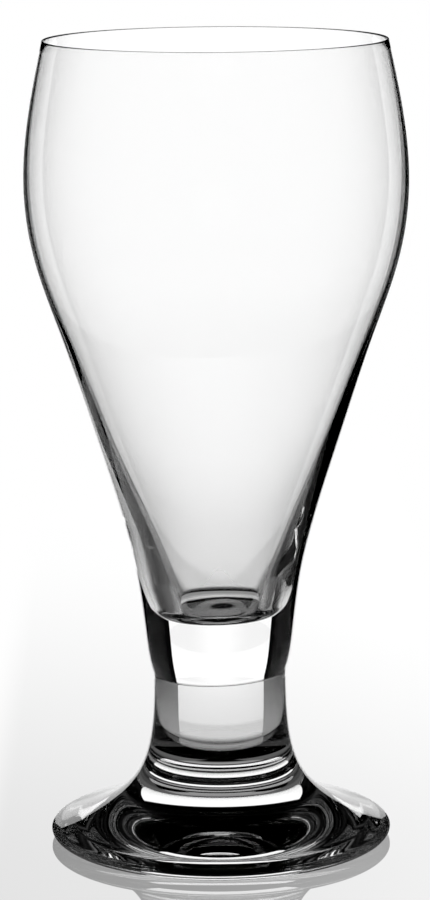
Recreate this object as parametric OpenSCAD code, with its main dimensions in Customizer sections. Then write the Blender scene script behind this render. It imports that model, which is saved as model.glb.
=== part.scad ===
// Pilsner glass: a blown bowl fused onto a pressed stem and foot, in one piece of clear glass.
// It stands on the plane z = 0 with its axis on Z. One closed outline, given as points
// [radius, height], holds the whole section, and one turn round the axis makes the glass.

/* [Foot] */
// Diameter of the foot at its widest line
foot_d = 79.4; // [66:0.1:95]
// Height of that widest line above the table
edge_h = 2.2; // [1.6:0.1:3]
// How far in from the widest line the rounded edge meets the table
edge_in = 3.1; // [2.2:0.1:4]
// Height of the small round between the widest line and the flare
lip_h = 1; // [0.6:0.1:1.6]
// How far in from the widest line the flare starts
lip_in = 0.8; // [0.4:0.1:1.2]
// Width of the flat ring that the glass rests on
rest_w = 4; // [2.5:0.1:8]
// Depth of the hollow under the foot at its middle
hollow_h = 3; // [1.5:0.1:4.5]

/* [Stem] */
// Height of the weld line, where the bowl is fused onto the stem
weld_h = 39.5; // [32:0.1:48]
// Diameter of the glass at the weld line
weld_d = 30.7; // [25:0.1:37]
// How far below the weld the stem holds its upright direction
neck_pull = 23; // [16:0.1:27]
// How far in from the foot's edge the flare holds the slope of the foot
flare_pull = 21.6; // [15:0.1:26]
// Slope of the foot's top at its edge, in degrees from level
flare_tilt = 16; // [10:1:22]

/* [Bowl outside] */
// Rise from the weld to the root of the bowl
root_rise = 9.5; // [7.5:0.1:12]
// Diameter at the root
root_d = 34.3; // [30:0.1:38]
// Rise from the root to the heel, beside the lower end of the cavity
heel_rise = 15; // [12:0.1:18]
// Diameter at the heel
heel_d = 38.5; // [34:0.1:44]
// Rise from the heel to the middle of the cone
cone_rise = 30; // [24:0.1:36]
// Diameter in the middle of the cone
cone_d = 55.5; // [48:0.1:64]
// Rise from the cone to the flank
flank_rise = 24; // [19:0.1:29]
// Diameter at the flank
flank_d = 71.2; // [62:0.1:80]
// Rise from the flank to the shoulder
shoulder_rise = 18; // [14:0.1:22]
// Diameter at the shoulder
shoulder_d = 83.2; // [74:0.1:92]
// Rise from the shoulder to the belly
belly_rise = 18; // [14:0.1:22]
// Diameter at the belly, where the bowl is widest
belly_d = 87.8; // [78:0.1:98]
// Rise from the belly to the top of the rim
rim_rise = 32; // [26:0.1:39]
// Outside diameter at the rim
rim_d = 78.7; // [70:0.1:88]
// Outward lean of the bowl where it leaves the weld, in degrees
weld_lean = 19; // [12:1:26]
// Inward lean of the bowl at the rim, in degrees
rim_lean = 12; // [6:1:18]

/* [Wall and cavity] */
// Wall at the rim
rim_wall = 0.7; // [0.5:0.05:1.2]
// Wall at the belly
belly_wall = 0.85; // [0.6:0.05:1.4]
// Wall at the shoulder
shoulder_wall = 1; // [0.7:0.05:1.6]
// Wall at the flank
flank_wall = 1.35; // [0.9:0.05:2]
// Wall in the middle of the cone
cone_wall = 2.5; // [1.8:0.1:3.6]
// Wall at the heel, measured level
heel_wall = 5.9; // [4.5:0.1:7.5]
// Outward lean of the cavity's wall at the heel, in degrees
cavity_lean = 20; // [15:1:25]
// Thickness of the solid glass between the weld and the floor of the cavity
base_h = 13.5; // [10.5:0.1:16.5]
// Size of the round between the cavity's wall and its floor
floor_round = 3; // [1.8:0.1:4.5]

/* [Hidden] */
// Clear glass with a faint grey cast
clear_glass = [0.87, 0.89, 0.9, 0.4];
// Steps round the axis, across the hollow, along a span between two stations, along the flare
// and on a small round
turn_steps = 128;
hollow_steps = 10;
span_steps = 8;
flare_steps = 24;
round_steps = 8;
// Share of the way to its corner at which a round's curve follows a circle
round_pull = 0.5523;

foot_r = foot_d / 2;
rest_r = foot_r - edge_in;
hollow_r = rest_r - rest_w;
// Radius of the ball that the hollow is a cap of, and the cap's half angle
ball_r = (pow(hollow_r, 2) + pow(hollow_h, 2)) / (2 * hollow_h);
ball_turn = asin(hollow_r / ball_r);
weld_r = weld_d / 2;
root_z = weld_h + root_rise;
heel_z = root_z + heel_rise;
cone_z = heel_z + cone_rise;
flank_z = cone_z + flank_rise;
shoulder_z = flank_z + shoulder_rise;
belly_z = shoulder_z + belly_rise;
rim_z = belly_z + rim_rise;
floor_z = weld_h + base_h;
// The rim is fire-polished: a half round as wide as the wall
rim_round = rim_wall / 2;
wall_top_z = rim_z - rim_round;

// Stations of the bowl from the bottom up, as [height, radius]
outside = [
    [weld_h, weld_r],
    [root_z, root_d / 2],
    [heel_z, heel_d / 2],
    [cone_z, cone_d / 2],
    [flank_z, flank_d / 2],
    [shoulder_z, shoulder_d / 2],
    [belly_z, belly_d / 2],
    [wall_top_z, rim_d / 2]
];
inside = [
    [heel_z, heel_d / 2 - heel_wall],
    [cone_z, cone_d / 2 - cone_wall],
    [flank_z, flank_d / 2 - flank_wall],
    [shoulder_z, shoulder_d / 2 - shoulder_wall],
    [belly_z, belly_d / 2 - belly_wall],
    [wall_top_z, rim_d / 2 - rim_wall]
];

// Where the straight line of the cavity's wall would meet the level floor
cavity_corner = [inside[0][1] - (heel_z - floor_z) * tan(cavity_lean), floor_z];
// Where the round between them starts on the wall
cavity_turn = cavity_corner + floor_round * [sin(cavity_lean), cos(cavity_lean)];

// Height of span i, and the mean slope of the curve over it
function span_h(at, i) = at[i + 1][0] - at[i][0];
function chord(at, i) = (at[i + 1][1] - at[i][1]) / span_h(at, i);

// Slopes of the smooth curve through the stations. At each inner station the bend of the span
// below equals the bend of the span above, so three neighbouring slopes are tied together.
// The way up writes each slope as share[1] - share[0] * (slope above), and the way down
// reads the slopes off from the known one at the top.
function shares(at, first, i) = i == 0 ? [[0, first]] :
    let (
        done = shares(at, first, i - 1),
        under = 1 / span_h(at, i - 1),
        over = 1 / span_h(at, i),
        pull = 3 * (chord(at, i - 1) * under + chord(at, i) * over),
        pivot = 2 * (under + over) - under * done[i - 1][0]
    )
    concat(done, [[over / pivot, (pull - under * done[i - 1][1]) / pivot]]);
function slopes_from(share, last, i) = i == len(share) ? [last] :
    let (above = slopes_from(share, last, i + 1))
    concat([share[i][1] - share[i][0] * above[0]], above);
function slopes(at, first, last) = slopes_from(shares(at, first, len(at) - 2), last, 0);

// Point [radius, height] at the part t of span i: the cubic that has both end radii and slopes
function on_span(at, m, i, t) = [
    at[i][1] * (1 + 2 * t) * pow(1 - t, 2) + m[i] * span_h(at, i) * t * pow(1 - t, 2)
        + at[i + 1][1] * (3 - 2 * t) * pow(t, 2) - m[i + 1] * span_h(at, i) * (1 - t) * pow(t, 2),
    at[i][0] + t * span_h(at, i)
];
function curve_through(at, m) = [
    for (i = [0 : len(at) - 2], k = [0 : span_steps - 1]) on_span(at, m, i, k / span_steps),
    [at[len(at) - 1][1], at[len(at) - 1][0]]
];

// Points from a to b on the curve that leaves a towards c and comes to b from d
function pulled(a, c, d, b, steps) = [
    for (k = [0 : steps]) let (t = k / steps)
        a * pow(1 - t, 3) + 3 * c * t * pow(1 - t, 2) + 3 * d * (1 - t) * pow(t, 2) + b * pow(t, 3)
];
// A round from a to b inside the corner where their directions meet
function rounded(a, corner, b) =
    pulled(a, a + round_pull * (corner - a), b + round_pull * (corner - b), b, round_steps);
function reversed(list) = [for (i = [len(list) - 1 : -1 : 0]) list[i]];

// The hollow is a shallow cap of a ball, inside the flat ring
function hollow() = [
    for (k = [0 : hollow_steps - 1]) let (a = ball_turn * k / hollow_steps)
        [ball_r * sin(a), hollow_h - ball_r * (1 - cos(a))],
    [hollow_r, 0]
];
function foot_underside() =
    concat(hollow(), rounded([rest_r, 0], [foot_r, 0], [foot_r, edge_h]));
// The lip turns from the upright edge into the slope of the foot
lip = [foot_r - lip_in, edge_h + lip_h];
lip_corner = [foot_r, lip[1] - lip_in * tan(flare_tilt)];
function foot_lip() = rounded([foot_r, edge_h], lip_corner, lip);
// The flare sweeps from the slope of the foot up into the upright neck
function flare() = pulled(
    lip,
    lip + flare_pull * [-cos(flare_tilt), sin(flare_tilt)],
    [weld_r, weld_h - neck_pull],
    [weld_r, weld_h],
    flare_steps
);
function bowl_outside() = curve_through(outside, slopes(outside, tan(weld_lean), -tan(rim_lean)));
// The half round of the rim, from the outside over the top to the inside
function rim_top() = [
    for (k = [1 : round_steps - 1]) let (a = 180 * k / round_steps)
        [rim_d / 2 - rim_round + rim_round * cos(a), wall_top_z + rim_round * sin(a)]
];
function bowl_inside() = reversed(
    curve_through(inside, slopes(inside, tan(cavity_lean), -tan(rim_lean)))
);
function cavity_floor() =
    concat(rounded(cavity_turn, cavity_corner, cavity_corner - [floor_round, 0]), [[0, floor_z]]);

module pilsner_glass() {
    color(clear_glass)
        rotate_extrude($fn = turn_steps)
            polygon(concat(
                foot_underside(), foot_lip(), flare(), bowl_outside(),
                rim_top(), bowl_inside(), cavity_floor()
            ));
}

pilsner_glass();
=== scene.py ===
"""Looks of the pilsner glass: one revolved surface of clear glass in a small studio.

The glass is blown and pressed in one piece. Its section is a closed outline of arcs, one flare and
two smooth curves through a few stations, and the outline is turned round the axis.

The studio is a glossy pale table inside a round tent. Behind the glass stands a panel that is white
above the table and dimmer below it. Dark cards stand beside the glass, before it and over it, some
with a little light low down. This gives the glass its white middle and dark edges. Only gloss and
glass show the tent, and the tent and the table turn with the camera.
"""

import logging
import math
from collections.abc import Sequence
from dataclasses import dataclass, field
from enum import Enum

import bpy
import numpy as np
from mathutils import Matrix, Vector


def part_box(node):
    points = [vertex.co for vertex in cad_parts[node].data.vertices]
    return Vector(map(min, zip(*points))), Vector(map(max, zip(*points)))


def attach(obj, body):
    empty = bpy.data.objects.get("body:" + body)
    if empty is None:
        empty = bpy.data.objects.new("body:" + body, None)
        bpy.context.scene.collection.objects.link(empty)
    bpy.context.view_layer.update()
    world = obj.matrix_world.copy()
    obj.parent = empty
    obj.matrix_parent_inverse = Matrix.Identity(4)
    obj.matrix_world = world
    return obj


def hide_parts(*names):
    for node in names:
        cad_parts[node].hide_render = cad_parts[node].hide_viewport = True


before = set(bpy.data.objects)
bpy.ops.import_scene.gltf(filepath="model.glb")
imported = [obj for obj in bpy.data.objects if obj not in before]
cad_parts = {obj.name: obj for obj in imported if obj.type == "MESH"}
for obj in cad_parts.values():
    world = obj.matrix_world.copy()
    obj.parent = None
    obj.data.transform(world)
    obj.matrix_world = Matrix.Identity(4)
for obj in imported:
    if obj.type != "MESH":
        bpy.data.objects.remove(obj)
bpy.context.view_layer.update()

LOG = logging.getLogger("pilsner")
NODE = "pilsner_glass"
WHITE = (1.0, 1.0, 1.0, 1.0)

Point = Sequence[float] | np.ndarray
"""One [radius, height] in millimetres."""

Points = np.ndarray
"""Rows of [radius, height] in millimetres."""

Socket = bpy.types.NodeSocket
"""Input or output of a shader node."""

Stops = tuple[tuple[float, float], ...]
"""Pairs of a place in metres and the strength of the light there."""


def bezier(a: np.ndarray, b: np.ndarray, c: np.ndarray, d: np.ndarray, steps: int) -> Points:
    """Cubic curve from a to d that leaves towards b and arrives from c.

    With t from 0 to 1 a point is a(1-t)^3 + 3b t(1-t)^2 + 3c t^2(1-t) + d t^3.

    Args:
        a: First point.
        b: Pull of the first point.
        c: Pull of the last point.
        d: Last point.
        steps: Number of stretches.

    Returns:
        The steps + 1 points of the curve.
    """
    t = np.linspace(0, 1, steps + 1)[:, None]
    return a * (1 - t) ** 3 + 3 * b * t * (1 - t) ** 2 + 3 * c * t**2 * (1 - t) + d * t**3


def rounded(a: Point, corner: Point, b: Point, steps: int) -> Points:
    """Round from a to b inside the corner where their directions meet.

    Args:
        a: Where the round starts.
        corner: The sharp corner.
        b: Where the round ends.
        steps: Number of stretches.

    Returns:
        The points of the round.
    """
    circle_pull = 0.5523
    a, corner, b = (np.asarray(p, float) for p in (a, corner, b))
    return bezier(a, a + circle_pull * (corner - a), b + circle_pull * (corner - b), b, steps)


def smooth_curve(
    height: Sequence[float],
    radius: Sequence[float],
    first: float,
    last: float,
    steps: Sequence[int],
) -> Points:
    """Smooth curve through stations, with known slopes at its two ends.

    Each span is a cubic, and the slopes are solved together so that the bend at a span's end equals
    the bend at the next span's start.

    Args:
        height: Heights of the stations, from the bottom up.
        radius: Radii of the stations.
        first: Slope of radius over height at the bottom.
        last: The same at the top.
        steps: How many stretches each span is cut into.

    Returns:
        The points of the curve, from the bottom up.
    """
    span = np.diff(height)
    chord = np.diff(radius) / span
    count = len(height)
    ties = np.eye(count)
    known = np.zeros(count)
    known[0], known[-1] = first, last
    for i in range(1, count - 1):
        ties[i, i - 1 : i + 2] = [1 / span[i - 1], 2 / span[i - 1] + 2 / span[i], 1 / span[i]]
        known[i] = 3 * (chord[i - 1] / span[i - 1] + chord[i] / span[i])
    slope = np.linalg.solve(ties, known)
    curve = []
    for i, cuts in enumerate(steps):
        t = np.linspace(0, 1, cuts, endpoint=False)
        start, end = slope[i] * span[i], slope[i + 1] * span[i]
        low = radius[i] * (1 + 2 * t) * (1 - t) ** 2 + start * t * (1 - t) ** 2
        high = radius[i + 1] * (3 - 2 * t) * t**2 - end * (1 - t) * t**2
        curve.append(np.stack([low + high, height[i] + t * span[i]], 1))
    return np.vstack([*curve, [[radius[-1], height[-1]]]])


def window(z: np.ndarray, low: float, high: float, fade: float) -> np.ndarray:
    """1 between two heights, falling to 0 beyond each as t^2 (3 - 2t).

    Args:
        z: Heights to read.
        low: Where the level part starts.
        high: Where it ends.
        fade: Distance over which it falls.

    Returns:
        The share at each height.
    """
    t = np.clip(np.minimum((z - low) / fade, (high - z) / fade) + 1, 0, 1)
    return t * t * (3 - 2 * t)


class Part(Enum):
    """Stretches of the section, in the order in which the outline runs."""

    UNDERSIDE = "underside of the foot"
    FOOT = "edge and flare of the foot"
    BOWL = "outside of the bowl"
    RIM = "rim"
    INSIDE = "inside of the bowl"
    FLOOR = "floor of the cavity"


class Sum(Enum):
    """What a Math node does with its inputs."""

    TOTAL = "ADD"
    PRODUCT = "MULTIPLY"
    LARGEST = "MAXIMUM"
    SIZE = "ABSOLUTE"


class Axis(Enum):
    """Direction in which the light of a tent piece changes."""

    DEPTH = "Y"
    HEIGHT = "Z"


@dataclass(frozen=True)
class Foot:
    """Pressed foot and stem, from the middle of the underside up to the weld. Sizes in millimetres."""

    radius: float = 39.7
    edge_h: float = 2.2
    edge_in: float = 3.1
    lip_h: float = 1.0
    lip_in: float = 0.8
    rest_w: float = 4.0
    hollow_h: float = 3.0
    weld_h: float = 39.5
    weld_r: float = 15.35
    neck_pull: float = 23.0
    flare_pull: float = 21.6
    flare_tilt: float = math.radians(16)
    hollow_steps: int = 24
    rest_steps: int = 5
    edge_steps: int = 10
    lip_steps: int = 8
    flare_steps: int = 56
    weld_steps: int = 11

    def underside(self) -> Points:
        """Shallow cap of a ball, then the flat ring and the rounded lower edge.

        A point of the cap at the angle a is R sin(a), hollow_h - R (1 - cos(a)).

        Returns:
            Points from the axis to the widest line.
        """
        rest = self.radius - self.edge_in
        hollow = rest - self.rest_w
        ball = (hollow**2 + self.hollow_h**2) / (2 * self.hollow_h)
        a = np.linspace(0, math.asin(hollow / ball), self.hollow_steps + 1)
        cap = np.stack([ball * np.sin(a), self.hollow_h - ball * (1 - np.cos(a))], 1)
        ring = np.linspace([hollow, 0], [rest, 0], self.rest_steps + 1)[1:-1]
        edge = rounded([rest, 0], [self.radius, 0], [self.radius, self.edge_h], self.edge_steps)
        return np.vstack([cap, ring, edge])

    def upper(self) -> Points:
        """Lip and flare, with the last stretch below the weld cut finely for the groove.

        Returns:
            Points from the widest line to the weld.
        """
        tilt = self.flare_tilt
        lip = np.array([self.radius - self.lip_in, self.edge_h + self.lip_h])
        corner = [self.radius, lip[1] - self.lip_in * math.tan(tilt)]
        turn = rounded([self.radius, self.edge_h], corner, lip, self.lip_steps)
        weld = np.array([self.weld_r, self.weld_h])
        out = lip + self.flare_pull * np.array([-math.cos(tilt), math.sin(tilt)])
        flare = bezier(lip, out, weld - [0, self.neck_pull], weld, self.flare_steps)
        near_weld = np.linspace(flare[-2], weld, self.weld_steps + 1)[1:]
        return np.vstack([turn, flare[1:-1], near_weld])


@dataclass(frozen=True)
class Bowl:
    """Blown bowl above the weld. Sizes in millimetres, stations from the weld up."""

    height: tuple[float, ...] = (39.5, 49, 64, 94, 118, 136, 154, 185.65)
    radius: tuple[float, ...] = (15.35, 17.15, 19.25, 27.75, 35.6, 41.6, 43.9, 39.35)
    wall: tuple[float, ...] = (5.9, 2.5, 1.35, 1.0, 0.85, 0.7)
    weld_lean: float = math.radians(19)
    rim_lean: float = math.radians(12)
    cavity_lean: float = math.radians(20)
    floor_h: float = 53.0
    floor_round: float = 3.0
    floor_dish: float = 0.2
    span_steps: tuple[int, ...] = (10, 17, 34, 27, 12, 9, 14)
    weld_steps: int = 7
    rim_steps: int = 12
    heel_steps: int = 9
    bend_steps: int = 16
    floor_steps: int = 13

    def outside(self) -> Points:
        """Outside, with its first stretch above the weld cut finely for the groove.

        Returns:
            Points from the weld to the foot of the rim's round.
        """
        lean, tip = math.tan(self.weld_lean), -math.tan(self.rim_lean)
        up = smooth_curve(self.height, self.radius, lean, tip, self.span_steps)
        near_weld = np.linspace(up[0], up[1], self.weld_steps + 1)[:-1]
        return np.vstack([near_weld, up[1:]])

    def rim(self) -> Points:
        """Fire-polished half round over the top of the wall.

        Returns:
            Points from the outside to the inside, without the two that the walls have.
        """
        half = self.wall[-1] / 2
        a = np.linspace(0, math.pi, self.rim_steps + 1)[1:-1]
        middle = self.radius[-1] - half
        return np.stack([middle + half * np.cos(a), self.height[-1] + half * np.sin(a)], 1)

    def inside(self) -> Points:
        """Inside of the wall, which starts at the heel and not at the weld.

        Returns:
            Points from the rim down to the heel.
        """
        heel = len(self.height) - len(self.wall)
        radius = [outer - wall for outer, wall in zip(self.radius[heel:], self.wall)]
        lean, tip = math.tan(self.cavity_lean), -math.tan(self.rim_lean)
        up = smooth_curve(self.height[heel:], radius, lean, tip, self.span_steps[heel:])
        return up[::-1]

    def floor(self) -> Points:
        """Straight foot of the cavity's wall, its round, and the floor to the axis.

        The floor sinks a hair towards its middle, by dish * (1 + cos(pi r / R)) / 2.

        Returns:
            Points from below the heel to the axis.
        """
        heel = self.inside()[-1]
        lean = self.cavity_lean
        corner = np.array([heel[0] - (heel[1] - self.floor_h) * math.tan(lean), self.floor_h])
        turn = corner + self.floor_round * np.array([math.sin(lean), math.cos(lean)])
        wall = np.linspace(heel, turn, self.heel_steps + 1)[1:-1]
        bend = rounded(turn, corner, corner - [self.floor_round, 0], self.bend_steps)
        floor_r = bend[-1, 0]
        r = np.linspace(floor_r, 0, self.floor_steps + 1)[1:]
        sunk = self.floor_dish * (1 + np.cos(math.pi * r / floor_r)) / 2
        return np.vstack([wall, bend, np.stack([r, self.floor_h - sunk], 1)])


@dataclass(frozen=True)
class Band:
    """Heights in millimetres between which an unevenness has its full size, and its fade beyond."""

    low: float
    high: float
    fade: float

    def share(self, z: np.ndarray) -> np.ndarray:
        """Share of the full size at each height."""
        return window(z, self.low, self.high, self.fade)


@dataclass(frozen=True)
class Ripple:
    """One sine round the cavity: its share, its lobes in a turn and its drift with the height."""

    share: float
    lobes: int
    drift: float


@dataclass(frozen=True)
class Handwork:
    """What the making left uneven. Sizes in millimetres, askew as a slope.

    The base of the bowl and the stem's top are a little askew, a fine groove marks the weld, and
    the lower cavity is a little oval and has waves in its wall at one side.
    """

    askew: float = 0.033
    askew_band: Band = Band(36, 60, 14)
    groove: float = 0.19
    groove_w: float = 0.12
    weld_h: float = 39.5
    oval: float = 0.32
    oval_band: Band = Band(62, 96, 30)
    wave: float = 0.05
    wave_band: Band = Band(56, 66, 9)
    wave_drift: float = 0.22
    side_power: int = 4
    ripples: tuple[Ripple, ...] = (Ripple(1.0, 3, 1.0), Ripple(0.6, 5, -1.7), Ripple(0.4, 8, 2.3))
    fade_r: float = 12.0

    def notch(self, theta: np.ndarray, z: np.ndarray) -> np.ndarray:
        """Radius taken off by the groove, which is deepest at the front (-Y) and fades to the back.

        Its depth times exp(-((z - weld) / width)^2) times (1 - sin(theta)) / 2.

        Args:
            theta: Angle round the axis.
            z: Height in millimetres.

        Returns:
            The radius to take off, in millimetres.
        """
        across = np.exp(-(((z - self.weld_h) / self.groove_w) ** 2))
        return self.groove * across * (1 - np.sin(theta)) / 2

    def lift(self, x: np.ndarray, z: np.ndarray) -> np.ndarray:
        """Height added to a point: its X times the slope, faded out above and below."""
        return self.askew * x * self.askew_band.share(z)

    def swell(self, theta: np.ndarray, r: np.ndarray, z: np.ndarray) -> np.ndarray:
        """Radius added to the cavity's wall, with less and less of it inside the radius fade_r.

        The oval adds -oval sin(2 theta), and the waves are three sines that drift with the height
        and are strongest at +X, by cos(theta)^4.

        Args:
            theta: Angle round the axis.
            r: Radius in millimetres.
            z: Height in millimetres.

        Returns:
            The radius to add, in millimetres.
        """
        drift = self.wave_drift * z
        waves = sum(s.share * np.sin(s.lobes * theta + s.drift * drift) for s in self.ripples)
        side = np.clip(np.cos(theta), 0, 1) ** self.side_power * self.wave_band.share(z)
        oval = self.oval * np.sin(2 * theta) * self.oval_band.share(z)
        return (self.wave * waves * side - oval) * np.clip(r / self.fade_r, 0, 1)


@dataclass(frozen=True)
class GlassBody:
    """The whole glass as one closed surface of revolution."""

    foot: Foot = field(default_factory=Foot)
    bowl: Bowl = field(default_factory=Bowl)
    handwork: Handwork = field(default_factory=Handwork)
    turns: int = 256

    def stretches(self) -> dict[Part, Points]:
        """Section of the glass, stretch by stretch.

        Returns:
            Points of each stretch, without a first point that the one before it has.
        """
        return {
            Part.UNDERSIDE: self.foot.underside(),
            Part.FOOT: self.foot.upper()[1:],
            Part.BOWL: self.bowl.outside()[1:],
            Part.RIM: self.bowl.rim(),
            Part.INSIDE: self.bowl.inside(),
            Part.FLOOR: self.bowl.floor(),
        }

    def vertices(self) -> tuple[np.ndarray, int]:
        """Grid of points: angle round the axis by place along the section.

        x = r cos(theta), y = r sin(theta), with the handwork added, and the two ends on the axis.

        Returns:
            The points in metres, one row each, and how many rings lie between the two ends.
        """
        parts = self.stretches()
        section = np.vstack(list(parts.values()))
        cavity = (Part.INSIDE, Part.FLOOR)
        inner = np.concatenate([np.full(len(at), part in cavity) for part, at in parts.items()])
        r, z, inner = section[1:-1, :1], section[1:-1, 1:], inner[1:-1, None]
        theta = np.linspace(0, 2 * math.pi, self.turns, endpoint=False)[None, :]
        swell, notch = self.handwork.swell(theta, r, z), self.handwork.notch(theta, z)
        r = r + np.where(inner, swell, -notch)
        x, y = r * np.cos(theta), r * np.sin(theta)
        z = z + self.handwork.lift(x, z)
        grid = np.stack([x, y, z], -1).reshape(-1, 3)
        ends = np.array([[0, 0, section[0, 1]], [0, 0, section[-1, 1]]])
        return self.fitted(np.vstack([grid, ends])), len(inner)

    def fitted(self, points: np.ndarray) -> np.ndarray:
        """Scales the points by a hair into the box of the CAD node, which is a little off round.

        Args:
            points: Points in millimetres.

        Returns:
            The points in metres.
        """
        low, high = (np.array(corner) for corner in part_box(NODE))
        reach = np.array([*np.minimum(-low, high)[:2], high[2]])
        return points * reach / points.max(0)

    def faces(self, rings: int) -> tuple[np.ndarray, np.ndarray]:
        """Squares between neighbouring rings and triangles to the two ends, all facing outwards.

        Args:
            rings: How many rings the grid has.

        Returns:
            The squares and the triangles, as rows of vertex numbers.
        """
        k = np.arange(self.turns)
        after = (k + 1) % self.turns
        base = (np.arange(rings - 1) * self.turns)[:, None]
        above = base + self.turns
        quads = np.stack([base + k, base + after, above + after, above + k], -1)
        first, last = rings * self.turns, rings * self.turns + 1
        top = (rings - 1) * self.turns
        low = np.stack([np.full(self.turns, first), after, k], -1)
        high = np.stack([np.full(self.turns, last), top + k, top + after], -1)
        return quads.reshape(-1, 4), np.vstack([low, high])

    def build(self) -> bpy.types.Object:
        """Makes the mesh and its object.

        Returns:
            The glass, at the origin, with its place in its mesh.
        """
        points, rings = self.vertices()
        quads, tris = self.faces(rings)
        mesh = bpy.data.meshes.new("glass_body")
        mesh.from_pydata(points, [], [*quads.tolist(), *tris.tolist()])
        mesh.shade_smooth()
        mesh.update()
        body = bpy.data.objects.new("glass_body", mesh)
        bpy.context.collection.objects.link(body)
        return body


@dataclass(frozen=True)
class ClearGlass:
    """Fire-polished clear soda-lime glass."""

    ior: float = 1.52
    tint: tuple[float, float, float, float] = WHITE

    def material(self) -> bpy.types.Material:
        """Makes the material.

        Returns:
            The clear glass.
        """
        made = bpy.data.materials.new("soda_lime_glass")
        made.use_nodes = True
        shader = made.node_tree.nodes["Principled BSDF"]
        shader.inputs["Base Color"].default_value = self.tint
        shader.inputs["Roughness"].default_value = 0.0
        shader.inputs["IOR"].default_value = self.ior
        shader.inputs["Transmission Weight"].default_value = 1.0
        return made


class NodeNet:
    """Node tree of a new studio material, with short ways to add nodes and what feeds them."""

    def __init__(self, name: str) -> None:
        """Makes the material with an empty tree.

        Args:
            name: Name of the material.
        """
        self.made: bpy.types.Material = bpy.data.materials.new(name)
        self.made.use_nodes = True
        self.tree: bpy.types.NodeTree = self.made.node_tree
        self.tree.nodes.clear()

    def add(self, kind: str, *feeds: Socket, **values: float | tuple) -> bpy.types.Node:
        """Adds a node.

        Args:
            kind: Its type, without the first word that all of them share.
            feeds: What feeds its inputs, from the first on.
            values: Inputs to set by name, with _ for a blank.

        Returns:
            The node.
        """
        new = self.tree.nodes.new("ShaderNode" + kind)
        for name, value in values.items():
            new.inputs[name.replace("_", " ")].default_value = value
        for source, target in zip(feeds, new.inputs):
            self.tree.links.new(source, target)
        return new

    def reckon(self, step: Sum, *feeds: Socket, clamp: bool = False) -> Socket:
        """Adds a Math node.

        Args:
            step: What it does.
            feeds: Its inputs.
            clamp: Whether the result is kept between 0 and 1.

        Returns:
            The result.
        """
        new = self.add("Math", *feeds)
        new.operation = step.value
        new.use_clamp = clamp
        return new.outputs["Value"]

    def times(self, a: Socket, b: Socket) -> Socket:
        """Product of two values."""
        return self.reckon(Sum.PRODUCT, a, b)

    def larger(self, a: Socket, b: Socket) -> Socket:
        """Larger of two values."""
        return self.reckon(Sum.LARGEST, a, b)

    def ramp(
        self,
        source: Socket,
        start: float,
        end: float,
        low: float = 0.0,
        high: float = 1.0,
        soft: bool = False,
    ) -> Socket:
        """Turns a value from start to end into one from low to high, held beyond both.

        Args:
            source: The value to read.
            start: Where the ramp starts, which may be above its end.
            end: Where it ends.
            low: Result at the start.
            high: Result at the end.
            soft: Whether the ramp eases in and out, as t^2 (3 - 2t).

        Returns:
            The result.
        """
        new = self.add("MapRange", source, From_Min=start, From_Max=end, To_Min=low, To_Max=high)
        new.interpolation_type = "SMOOTHSTEP" if soft else "LINEAR"
        return new.outputs["Result"]

    def light(self, strength: Socket | float) -> Socket:
        """Adds a white light.

        Args:
            strength: How bright it is, where 1 is white, or what feeds that.

        Returns:
            The shader.
        """
        new = self.add("Emission", Color=WHITE)
        if isinstance(strength, Socket):
            self.tree.links.new(strength, new.inputs["Strength"])
        else:
            new.inputs["Strength"].default_value = strength
        return new.outputs["Emission"]

    def mix(self, share: Socket, first: Socket, second: Socket) -> Socket:
        """Blend of two shaders by the share of the second."""
        return self.add("MixShader", share, first, second).outputs["Shader"]

    def finish(self, surface: Socket) -> bpy.types.Material:
        """Gives the material its surface.

        Args:
            surface: The shader that it shows.

        Returns:
            The material.
        """
        self.add("OutputMaterial", surface)
        return self.made


class Spot:
    """What the table reads where a ray meets it.

    apart is the distance from the axis, x and y are the place, and aside is x without its sign.
    camera is 1 for a ray of the camera's. facing is 1 for a level ray and 0 for one straight down.
    """

    def __init__(self, net: NodeNet) -> None:
        """Adds the nodes that read it.

        Args:
            net: The table's node net.
        """
        place = net.add("TexCoord").outputs["Object"]
        split = net.add("SeparateXYZ", place)
        length = net.add("VectorMath", place)
        length.operation = "LENGTH"
        self.apart: Socket = length.outputs["Value"]
        self.x: Socket = split.outputs["X"]
        self.y: Socket = split.outputs["Y"]
        self.aside: Socket = net.reckon(Sum.SIZE, self.x)
        self.camera: Socket = net.add("LightPath").outputs["Is Camera Ray"]
        unbent = 0.5
        self.facing: Socket = net.add("LayerWeight", Blend=unbent).outputs["Facing"]


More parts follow.
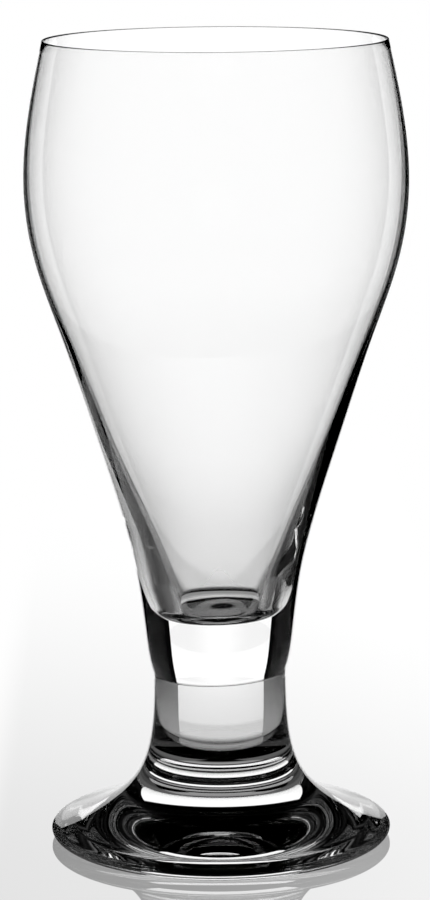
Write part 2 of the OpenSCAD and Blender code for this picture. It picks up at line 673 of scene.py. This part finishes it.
@dataclass(frozen=True)
class TableSheet:
    """Glossy table. Lengths in metres, slants as facing, which is 1 for a level ray.

    To the camera it is a pale sheet that glows instead of being lit, with painted shade near the
    foot, painted light towards +X and a strong gloss, and it turns white beside the glass, in front
    of it, far off and where it is seen from above. To light that comes through the glass or off it,
    it is half clear, over a dim matt body whose colour is painted light behind the glass and from
    above, with painted shade under the foot, so that it shows only in the open.
    """

    reach: float
    ior: float = 1.5
    sharp: float = 0.02
    camera_gloss: float = 2.0
    # Painted light: the pale sheet that the camera sees glows, from painted shade at the edge of the foot to
    # far away, and brighter towards +X
    painted_shade_near_foot: float = 0.59
    glow_far_off: float = 0.8
    far_away: float = 0.3
    painted_side_light: float = 0.09
    aside: float = 0.05
    # Where the foot covers the table, and where the table is in the open: painted shade under the foot ends
    # between them
    foot_near: float = 0.0405
    foot_far: float = 0.046
    # Painted light on the matt body behind the glass, for level rays
    level_start: float = 0.35
    level_end: float = 0.5
    level_light: float = 0.38
    rear_blend: float = 0.002
    light_reach: float = 0.14
    light_aside: float = 0.25
    # Painted light on the matt body all round, for steep rays
    steep_start: float = 0.25
    steep_end: float = 0.12
    steep_light: float = 0.75
    # White that the camera sees instead of the sheet
    white_start: float = 0.05
    side_start: float = 0.0505
    side_end: float = 0.064
    front_start: float = -0.052
    front_end: float = -0.08
    above_start: float = 0.6
    above_end: float = 0.3
    above_white: float = 0.9

    def material(self) -> bpy.types.Material:
        """Makes the material.

        Returns:
            The table sheet.
        """
        net = NodeNet("table_sheet")
        spot = Spot(net)
        body = net.mix(spot.camera, self.to_glass(net, spot), self.to_camera(net, spot))
        gloss = net.add("BsdfAnisotropic", Color=WHITE, Roughness=self.sharp).outputs["BSDF"]
        skin = net.mix(self.gloss_share(net, spot), body, gloss)
        return net.finish(net.mix(self.whiteness(net, spot), skin, net.light(1.0)))

    def to_camera(self, net: NodeNet, spot: Spot) -> Socket:
        """Pale sheet that glows instead of being lit, with painted shade near the foot that fades far away,
        and painted light towards +X.

        Args:
            net: The node net.
            spot: What the table reads.

        Returns:
            The shader.
        """
        # Painted shade near the foot that fades out far away, and painted light brighter towards +X, as a
        # glow
        shade_fade_glow = net.ramp(spot.apart, self.foot_far, self.far_away, self.painted_shade_near_foot, self.glow_far_off)
        lean = net.ramp(spot.x, -self.aside, self.aside, -self.painted_side_light, self.painted_side_light)
        return net.light(net.reckon(Sum.TOTAL, shade_fade_glow, lean))

    def to_glass(self, net: NodeNet, spot: Spot) -> Socket:
        """Half clear sheet over a dim matt body whose colour is painted light.

        The body's colour is painted light behind the glass for level rays, dimmer to the sides, and all
        round for steep rays, with painted shade under the foot.

        Args:
            net: The node net.
            spot: What the table reads.

        Returns:
            The shader.
        """
        # Painted light and shade in the matt body's colour: bright behind the glass and from above, dark
        # under the foot
        level = net.ramp(spot.facing, self.level_start, self.level_end, 0.0, self.level_light)
        across = net.ramp(spot.aside, 0.0, self.light_reach, 1.0, self.light_aside, soft=True)
        rear = net.ramp(spot.y, -self.rear_blend, self.rear_blend)
        steep = net.ramp(spot.facing, self.steep_start, self.steep_end, 0.0, self.steep_light)
        clear_of_foot_shade = net.ramp(spot.apart, self.foot_near, self.foot_far)
        lit = net.larger(net.times(net.times(level, across), rear), steep)
        matt = net.add("BsdfDiffuse", net.times(lit, clear_of_foot_shade)).outputs["BSDF"]
        clear = net.add("BsdfTransparent", Color=WHITE).outputs["BSDF"]
        return net.add("AddShader", matt, clear).outputs["Shader"]

    def gloss_share(self, net: NodeNet, spot: Spot) -> Socket:
        """Share of the gloss: that of the sheet's index, and a multiple of it for the camera.

        Args:
            net: The node net.
            spot: What the table reads.

        Returns:
            The share, from 0 to 1.
        """
        fresnel = net.add("Fresnel", IOR=self.ior).outputs["Fac"]
        more = net.ramp(spot.camera, 0.0, 1.0, 1.0, self.camera_gloss)
        return net.reckon(Sum.PRODUCT, fresnel, more, clamp=True)

    def whiteness(self, net: NodeNet, spot: Spot) -> Socket:
        """Share of plain white that the camera sees: far off, to the sides, in front, from above.

        Args:
            net: The node net.
            spot: What the table reads.

        Returns:
            The share, which is 0 for every other ray.
        """
        far = net.ramp(spot.apart, self.white_start, self.reach, soft=True)
        side = net.ramp(spot.aside, self.side_start, self.side_end, soft=True)
        front = net.ramp(spot.y, self.front_start, self.front_end, soft=True)
        above = net.ramp(spot.facing, self.above_start, self.above_end, 0.0, self.above_white)
        return net.times(net.larger(net.larger(net.larger(far, side), front), above), spot.camera)


@dataclass(frozen=True)
class PhotoCamera:
    """Camera that a fit to the photograph's ellipses found. Metres, with the lens in millimetres."""

    lens: float = 144.235
    sensor_w: float = 36.0
    clip: tuple[float, float] = (0.05, 20.0)
    place: tuple[float, float, float] = (0.0, -0.81651, 0.2465)
    yaw: float = math.radians(-0.0516)
    pitch: float = math.radians(10.746)
    roll: float = math.radians(-0.4495)

    def build(self) -> bpy.types.Object:
        """Makes the camera: rolled, tipped down by its pitch, turned by its yaw, moved to its place.

        Returns:
            The camera, set as the scene's.
        """
        data = bpy.data.cameras.new("camera")
        data.lens = self.lens
        data.sensor_width = self.sensor_w
        data.clip_start, data.clip_end = self.clip
        camera = bpy.data.objects.new("camera", data)
        bpy.context.collection.objects.link(camera)
        turn = (
            Matrix.Rotation(-self.yaw, 4, "Z")
            @ Matrix.Rotation(math.pi / 2 - self.pitch, 4, "X")
            @ Matrix.Rotation(self.roll, 4, "Z")
        )
        camera.matrix_world = Matrix.Translation(Vector(self.place)) @ turn
        bpy.context.scene.camera = camera
        return camera


@dataclass(frozen=True)
class Studio:
    """Table, tent, world and camera. Lengths in metres, heights from the table's top."""

    camera: PhotoCamera = field(default_factory=PhotoCamera)
    tent_r: float = 0.56
    tent_low: float = -0.46
    tent_high: float = 1.2
    tent_steps: int = 48
    panel_turn: float = math.radians(70)
    panel_top: float = 0.5
    slot_y: float = 0.133
    slot_left: float = 0.0706
    slot_right: float = 0.066
    roof_over: float = 1.1
    # Dim below the table's top and white above it, with a sharp step between
    panel_stops: Stops = (
        (-0.46, 0.0), (-0.34, 0.0), (-0.28, 0.44), (-0.2, 0.42), (-0.14, 0.46), (-0.07, 0.65), (-0.04, 0.7),
        (-0.0003, 0.77), (-0.0002, 1.09), (0.04, 1.15), (0.08, 1.16), (0.14, 1.17), (0.2, 1.15), (0.215, 0.0),
    )
    # A little light low down at the sides and in front, and on the floor behind
    side_stops: Stops = ((-0.46, 0.12), (-0.15, 0.12), (-0.05, 0.04), (0.0, 0.0))
    front_stops: Stops = ((-0.46, 0.04), (-0.2, 0.04), (-0.12, 0.0))
    floor_stops: Stops = ((0.22, 0.0), (0.32, 0.3), (0.6, 0.35))
    table_drop: float = 0.0001
    table_r: float = 0.5595
    table_steps: int = 96
    bounces: int = 32

    def add(self, name: str, points: np.ndarray, faces: list[list[int]]) -> bpy.types.Object:
        """Makes a stage piece.

        Args:
            name: Name of the mesh and the object.
            points: Its points, one row each.
            faces: Its faces, as lists of point numbers.

        Returns:
            The piece.
        """
        mesh = bpy.data.meshes.new(name)
        mesh.from_pydata(points, [], faces)
        piece = bpy.data.objects.new(name, mesh)
        bpy.context.collection.objects.link(piece)
        return piece

    def arc(self, name: str, left: float, right: float, low: float, high: float) -> bpy.types.Object:
        """Upright piece of the tent: x = R sin(a), y = R cos(a), with a from left to right.

        Args:
            name: Name of the piece.
            left: First angle, where 0 is straight behind the glass.
            right: Last angle.
            low: Bottom of the piece.
            high: Top of the piece.

        Returns:
            The piece.
        """
        a = np.linspace(left, right, self.tent_steps + 1)
        ring = np.stack([self.tent_r * np.sin(a), self.tent_r * np.cos(a)], 1)
        points = np.vstack([np.c_[ring, np.full(len(a), height)] for height in (low, high)])
        k = np.arange(self.tent_steps)
        above = k + len(a)
        return self.add(name, points, np.stack([k, k + 1, above + 1, above], 1).tolist())

    def screen(self, name: str, left: float, right: float) -> bpy.types.Object:
        """Flat upright card a little behind the glass.

        Args:
            name: Name of the piece.
            left: X of one side.
            right: X of the other side.

        Returns:
            The piece.
        """
        low, high = self.tent_low, self.tent_high
        corners = ((left, low), (right, low), (right, high), (left, high))
        return self.add(name, np.array([[x, self.slot_y, z] for x, z in corners]), [[0, 1, 2, 3]])

    def level(self, name: str, height: float) -> bpy.types.Object:
        """Flat level card that closes the tent above or below."""
        r, z = self.tent_r * self.roof_over, height
        return self.add(name, np.array([[-r, -r, z], [r, -r, z], [r, r, z], [-r, r, z]]), [[0, 1, 2, 3]])

    def only_in_glass(self, piece: bpy.types.Object) -> None:
        """Hides a stage piece from the camera, from plain surfaces and from shadows.

        Args:
            piece: The piece, which gloss and glass still show.
        """
        piece.visible_camera = False
        piece.visible_diffuse = False
        piece.visible_shadow = False
        piece.visible_volume_scatter = False

    def glow(self, name: str, stops: Stops, axis: Axis = Axis.HEIGHT) -> bpy.types.Material:
        """Light of a tent piece by its place along one axis.

        Each ramp between two stops adds its own rise, so their sum runs through all the strengths.

        Args:
            name: Name of the material.
            stops: Places in metres and strengths there, in rising order.
            axis: The axis to read the place from.

        Returns:
            The material.
        """
        net = NodeNet(name)
        place = net.add("SeparateXYZ", net.add("TexCoord").outputs["Object"]).outputs[axis.value]
        (start, base), (end, strength), *others = stops
        total = net.ramp(place, start, end, base, strength)
        for stop, more in others:
            rise = net.ramp(place, end, stop, 0.0, more - strength)
            total = net.reckon(Sum.TOTAL, total, rise)
            end, strength = stop, more
        return net.finish(net.light(total))

    def black(self) -> bpy.types.Material:
        """Cards that give no light."""
        net = NodeNet("card_black")
        return net.finish(net.light(0.0))

    def rig(self, camera: bpy.types.Object) -> bpy.types.Object:
        """Makes the empty that carries the tent and takes the camera's heading.

        Args:
            camera: The camera to follow.

        Returns:
            The empty.
        """
        rig = bpy.data.objects.new("tent", None)
        bpy.context.collection.objects.link(rig)
        follow = rig.constraints.new("COPY_ROTATION")
        follow.target = camera
        follow.use_x = follow.use_y = False
        return rig

    def tent(self, camera: bpy.types.Object) -> None:
        """Panel behind and cards round the rest, with the table, all turning with the camera.

        Args:
            camera: The camera whose heading the tent follows.
        """
        turn, low, high = self.panel_turn, self.tent_low, self.tent_high
        panel = self.arc("panel", -turn, turn, low, self.panel_top)
        over = self.arc("card_over", -turn, turn, self.panel_top, high)
        front = self.arc("card_front", turn, 2 * math.pi - turn, low, high)
        left = self.screen("card_left", -self.tent_r, -self.slot_left)
        right = self.screen("card_right", self.slot_right, self.tent_r)
        roof = self.level("card_roof", high)
        floor = self.level("card_floor", low)
        black = self.black()
        sides = self.glow("side_light", self.side_stops)
        rig = self.rig(camera)
        for piece, light in (
            (panel, self.glow("panel_light", self.panel_stops)),
            (left, sides),
            (right, sides),
            (front, self.glow("front_light", self.front_stops)),
            (floor, self.glow("floor_light", self.floor_stops, Axis.DEPTH)),
            (over, black),
            (roof, black),
        ):
            piece.data.materials.append(light)
            self.only_in_glass(piece)
            piece.parent = rig
        self.table().parent = rig

    def table(self) -> bpy.types.Object:
        """Glossy round sheet under the glass: x = R cos(a), y = R sin(a).

        Returns:
            The table, which the camera sees too.
        """
        a = np.linspace(0, 2 * math.pi, self.table_steps, endpoint=False)
        level = np.full(self.table_steps, -self.table_drop)
        rim = np.stack([self.table_r * np.cos(a), self.table_r * np.sin(a), level], 1)
        table = self.add("table", rim, [list(range(self.table_steps))])
        table.data.materials.append(TableSheet(self.table_r).material())
        return table

    def world(self) -> None:
        """Plain light at strength 1, which is white to the camera, to gloss and through glass."""
        world = bpy.data.worlds.new("studio_white")
        bpy.context.scene.world = world
        world.use_nodes = True
        back = world.node_tree.nodes["Background"]
        back.inputs["Color"].default_value = WHITE
        back.inputs["Strength"].default_value = 1.0

    def build(self) -> None:
        """Sets the whole studio up, with enough bounces for light inside thick glass."""
        scene = bpy.context.scene
        scene.view_settings.view_transform = "Standard"
        scene.cycles.max_bounces = self.bounces
        scene.cycles.transmission_bounces = self.bounces
        scene.cycles.glossy_bounces = self.bounces
        self.world()
        self.tent(self.camera.build())


def main() -> None:
    """Builds the glass and the studio, and reports the glass."""
    logging.basicConfig(level=logging.INFO)
    body = GlassBody().build()
    body.data.materials.append(ClearGlass().material())
    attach(body, "root")
    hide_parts(NODE)
    LOG.info("%s: %d faces", body.name, len(body.data.polygons))
    Studio().build()


if __name__ == "__main__":
    main()
